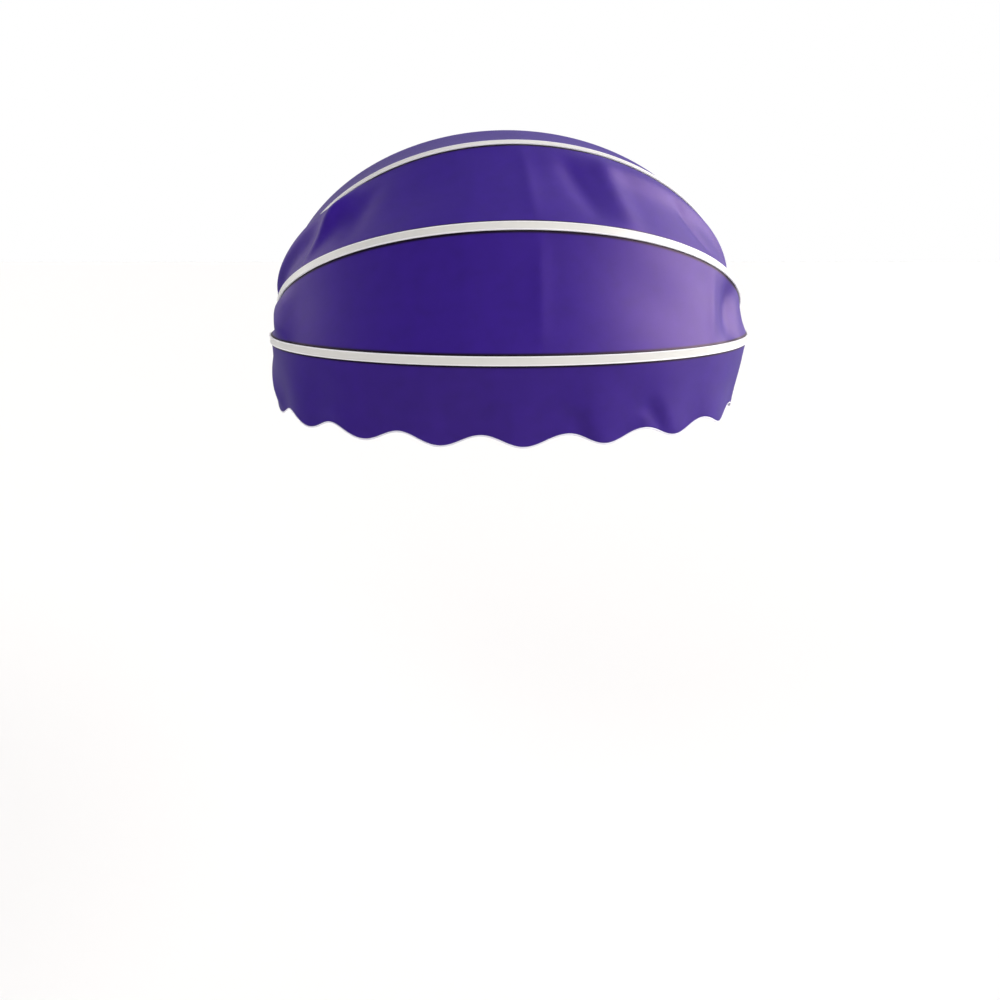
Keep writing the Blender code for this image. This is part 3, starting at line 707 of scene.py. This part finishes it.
# Each crease: start and end as (share along from the right, share down), width, height, whether it is sharp
upper_creases = [
    ((0.49, -0.1), (0.49, 1.1), 0.05, 0.0016, True),
    ((0.30, 0.0), (0.22, 1.0), 0.12, 0.0030),
]
middle_creases = [
    ((0.497, -0.1), (0.483, 1.1), 0.045, 0.0030, True),
    ((0.440, 0.15), (0.400, 0.95), 0.10, -0.0060),
    ((0.388, 0.05), (0.355, 1.05), 0.12, 0.0095),
    ((0.275, 0.15), (0.195, 1.00), 0.050, -0.0050, True),
    ((0.730, 0.00), (0.815, 0.95), 0.050, 0.0130, True),
    ((0.700, 0.20), (0.740, 0.90), 0.120, -0.0040),
    ((0.563, 0.10), (0.570, 0.90), 0.10, 0.0014),
    ((0.750, 0.25), (0.990, 0.30), 0.26, 0.0300),
    ((0.080, 0.15), (0.420, 0.12), 0.16, 0.0130),
]
lower_creases = [
    ((0.481, -0.1), (0.483, 1.1), 0.045, 0.0026, True),
    ((0.563, -0.1), (0.570, 1.1), 0.08, 0.0012),
    ((0.880, 0.10), (0.860, 1.00), 0.20, 0.0200),
    ((0.955, 0.20), (0.940, 1.00), 0.08, -0.0060),
    ((0.160, 0.05), (0.185, 1.05), 0.15, -0.0180),
    ((0.215, 0.00), (0.235, 1.00), 0.06, 0.0030),
]
panels = {
    "upper": ([strip_grid[-1]], [bow_row("upper", mouth), bow_row("upper", tucked)], upper_creases),
    "middle": (
        [bow_row("upper", -tucked), bow_row("upper", -mouth)],
        [bow_row("middle", mouth), bow_row("middle", tucked)],
        middle_creases,
    ),
    "lower": (
        [bow_row("middle", -tucked), bow_row("middle", -mouth)],
        [bow_row("front", mouth), bow_row("front", tucked)],
        lower_creases,
    ),
}
for seed, (panel, (top_rows, bottom_rows, creases)) in enumerate(panels.items()):
    cover = stretched_panel(f"cloth_{panel}", top_rows, bottom_rows, creases, seed)
    folding(cover)
    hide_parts(f"canopy_panel_{panel}")


# The valance is a strip of the same cloth that hangs from the front bow's lower groove. Its hem is cut in ten
# scallops and bound with a light woven tape, folded over the edge and sewn through.
valance_starts = 0.020
valance_drop = 0.161
scallop_depth = 0.024
scallop_count = 10
valance_lean = 0.012
right_pull = 0.038          # how much further in the hem hangs at its right end
pull_share = 0.25           # the share of its length over which that fades
left_push = 0.018           # how much further out it hangs at its left end
push_share = 0.2
valance_ripple = 0.003
valance_waves = 0.0016
valance_seed = 7
rows_crowd = 1.5            # above 1, the rows lie closer together near the bow
valance_columns = 721
valance_rows = 45
valance_line, valance_out = bow_line(
    bow_half["front"], hinged_reach, valance_starts, cloth_inset, valance_columns
)
valance_share = np.linspace(0, 1, valance_columns)
scallop = np.cos(2 * np.pi * scallop_count * valance_share)
ripple = np.sin(2 * np.pi * scallop_count * valance_share)
lean = valance_lean + right_pull * np.clip(1 - valance_share / pull_share, 0, 1) ** 2
lean = lean - left_push * np.clip((valance_share - (1 - push_share)) / push_share, 0, 1) ** 2


def hanging(part, depth):
    """Points of the valance at a part of the way down and a depth below the bow's plane.

    They lie under the groove, leaning inwards by the lean and rippling in and out with the scallops, both of
    them in proportion to how far down they are.
    """
    inwards = part * (lean - valance_ripple * ripple)
    return in_world(valance_line - inwards[:, None] * valance_out, bow_tilt["front"], -depth)


hem_depth = valance_drop + scallop_depth / 2 * scallop
level = np.ones(valance_columns)
down_share = np.linspace(0, 1, valance_rows) ** rows_crowd
valance_grid = np.array(
    [hanging(0, tucked * level)] + [hanging(part, mouth + part * (hem_depth - mouth)) for part in down_share]
)
share_grid = np.broadcast_to(valance_share, valance_grid.shape[:2])
fall_grid = np.broadcast_to(np.concatenate([[0], down_share])[:, None], valance_grid.shape[:2])
# How far each point may follow the folds: not at all at the bow and fully at the hem
free = np.sin(np.pi * fall_grid ** 0.7 / 2) ** 0.8
valance_creases = [
    ((0.990, 0.00), (0.890, 0.85), 0.06, 0.0070, True),
    ((0.450, 0.65), (0.425, 1.10), 0.10, -0.0060),
    ((0.350, 0.60), (0.315, 1.10), 0.10, -0.0060),
    ((0.560, 0.00), (0.565, 1.00), 0.10, 0.0012),
]
valance_folds = soft_waves(share_grid, fall_grid, valance_seed, valance_waves)
for one in valance_creases:
    valance_folds = valance_folds + crease(share_grid, fall_grid, *one)
valance_grid = valance_grid + (free * valance_folds)[..., None] * normals_of(valance_grid)
valance_lengths = lengths_of(valance_grid)
from_rib = valance_lengths[..., 1] - valance_lengths[1, :, 1]
# Painted shade along the valance's top, where it goes into the front bow's groove.
valance_painted_shade = np.clip(painted_shade_core * (1 - from_rib / painted_shade_wide), 0, 1)
valance = sheet_mesh("hanging_valance", valance_grid, valance_lengths, valance_painted_shade, violet_cloth)
hem_line = valance_grid[-1]

tape = cloth_finish(
    "light_binding_tape", (0.62, 0.60, 0.70), (0.80, 0.78, 0.88), (0.62, 0.60, 0.70),
    0.70, 0.30, (1.0, 1.0, 1.0),
)
tape_high = 0.0042
tape_thick = 0.0017
tape_sides = 12
turn = np.linspace(0, 2 * np.pi, tape_sides, endpoint=False)
outward = turned_up(valance_out, 0.0)
ring = (
    hem_line[:, None]
    + (tape_thick / 2 * np.cos(turn))[None, :, None] * outward[:, None]
    + (tape_high / 2 * np.sin(turn))[None, :, None] * np.array([0, 0, 1.0])
)
tape_faces = ring_faces(valance_columns, tape_sides)
last_ring = (valance_columns - 1) * tape_sides
tape_faces += [list(range(tape_sides)), list(range(last_ring, last_ring + tape_sides))]
binding = mesh_piece("hem_binding", ring, tape_faces, tape)
around = np.tile(turn / (2 * np.pi) * 2 * (tape_high + tape_thick), valance_columns)
lengthways = np.repeat(valance_lengths[0, :, 0], tape_sides)
corners = np.zeros(len(binding.data.loops), np.int32)
binding.data.loops.foreach_get("vertex_index", corners)
tape_threads = binding.data.uv_layers.new(name="cloth")
tape_threads.data.foreach_set("uv", np.stack([lengthways, around], 1)[corners].astype(np.float32).ravel())

for piece, node in ((valance, "valance"), (binding, "valance_binding")):
    belongs(piece, node)
    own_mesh(piece)


# The studio is a large pale floor below the canopy, surroundings that look white and are dim as light, a
# broad soft light from the right, a weak one from the left and a fill from the front. None of it is part of
# the canopy.
floor_below = -2.0
floor_half = 400.0
bright_side = (0.5, 1.0, 0.0)
dim_glow = 0.05
bright_glow = 0.6
floor_corners = np.array([[-1, -1], [1, -1], [1, 1], [-1, 1]]) * floor_half
floor_mesh = bpy.data.meshes.new("floor")
floor_mesh.from_pydata([(x, y, floor_below) for x, y in floor_corners.tolist()], [], [(0, 1, 2, 3)])
floor_paint = bpy.data.materials.new("pale_floor")
floor_paint.use_nodes = True
floor_shader = floor_paint.node_tree.nodes["Principled BSDF"]
floor_shader.inputs["Base Color"].default_value = (0.90, 0.90, 0.90, 1)
floor_shader.inputs["Roughness"].default_value = 0.9
floor_mesh.materials.append(floor_paint)
floor = bpy.data.objects.new("floor", floor_mesh)
bpy.context.scene.collection.objects.link(floor)
floor.visible_glossy = False


def soft_light(name, comes_from, energy, colour, spread):
    """A sun that shines from one direction and whose disc is as wide as the spread, in degrees."""
    data = bpy.data.lights.new(name, "SUN")
    data.energy = energy
    data.color = colour
    data.angle = np.radians(spread)
    made = bpy.data.objects.new(name, data)
    made.rotation_euler = Vector(comes_from).to_track_quat("Z", "Y").to_euler()
    bpy.context.scene.collection.objects.link(made)
    return made


soft_light("right_light", (0.90, -0.08, 0.42), 4.0, (1.0, 0.97, 0.95), 50)
soft_light("left_light", (-0.90, 0.34, 0.40), 0.7, (1.0, 0.98, 1.0), 40)
fill_light = soft_light("front_fill", (-0.30, -0.82, 0.50), 1.42, (1.0, 0.99, 0.98), 70)
fill_light.visible_glossy = False
surroundings = bpy.data.worlds.new("white_surroundings")
surroundings.use_nodes = True
sky = surroundings.node_tree
direction = add_node(sky, "ShaderNodeTexCoord").outputs["Generated"]
towards = add_node(
    sky, "ShaderNodeVectorMath", [(0, direction), (1, bright_side)], operation="DOT_PRODUCT"
)
glow = add_node(
    sky, "ShaderNodeMapRange",
    [
        ("Value", towards.outputs["Value"]),
        ("From Min", -0.2),
        ("From Max", 0.4),
        ("To Min", dim_glow),
        ("To Max", bright_glow),
    ],
    interpolation_type="SMOOTHSTEP",
)
straight = add_node(sky, "ShaderNodeLightPath").outputs["Is Camera Ray"]
brightness = add_node(
    sky, "ShaderNodeMath", [(0, glow.outputs["Result"]), (1, straight)], operation="MAXIMUM"
)
sky.nodes["Background"].inputs["Color"].default_value = (1, 1, 1, 1)
sky.links.new(brightness.outputs[0], sky.nodes["Background"].inputs["Strength"])
bpy.context.scene.world = surroundings
bpy.context.scene.view_settings.view_transform = "Standard"
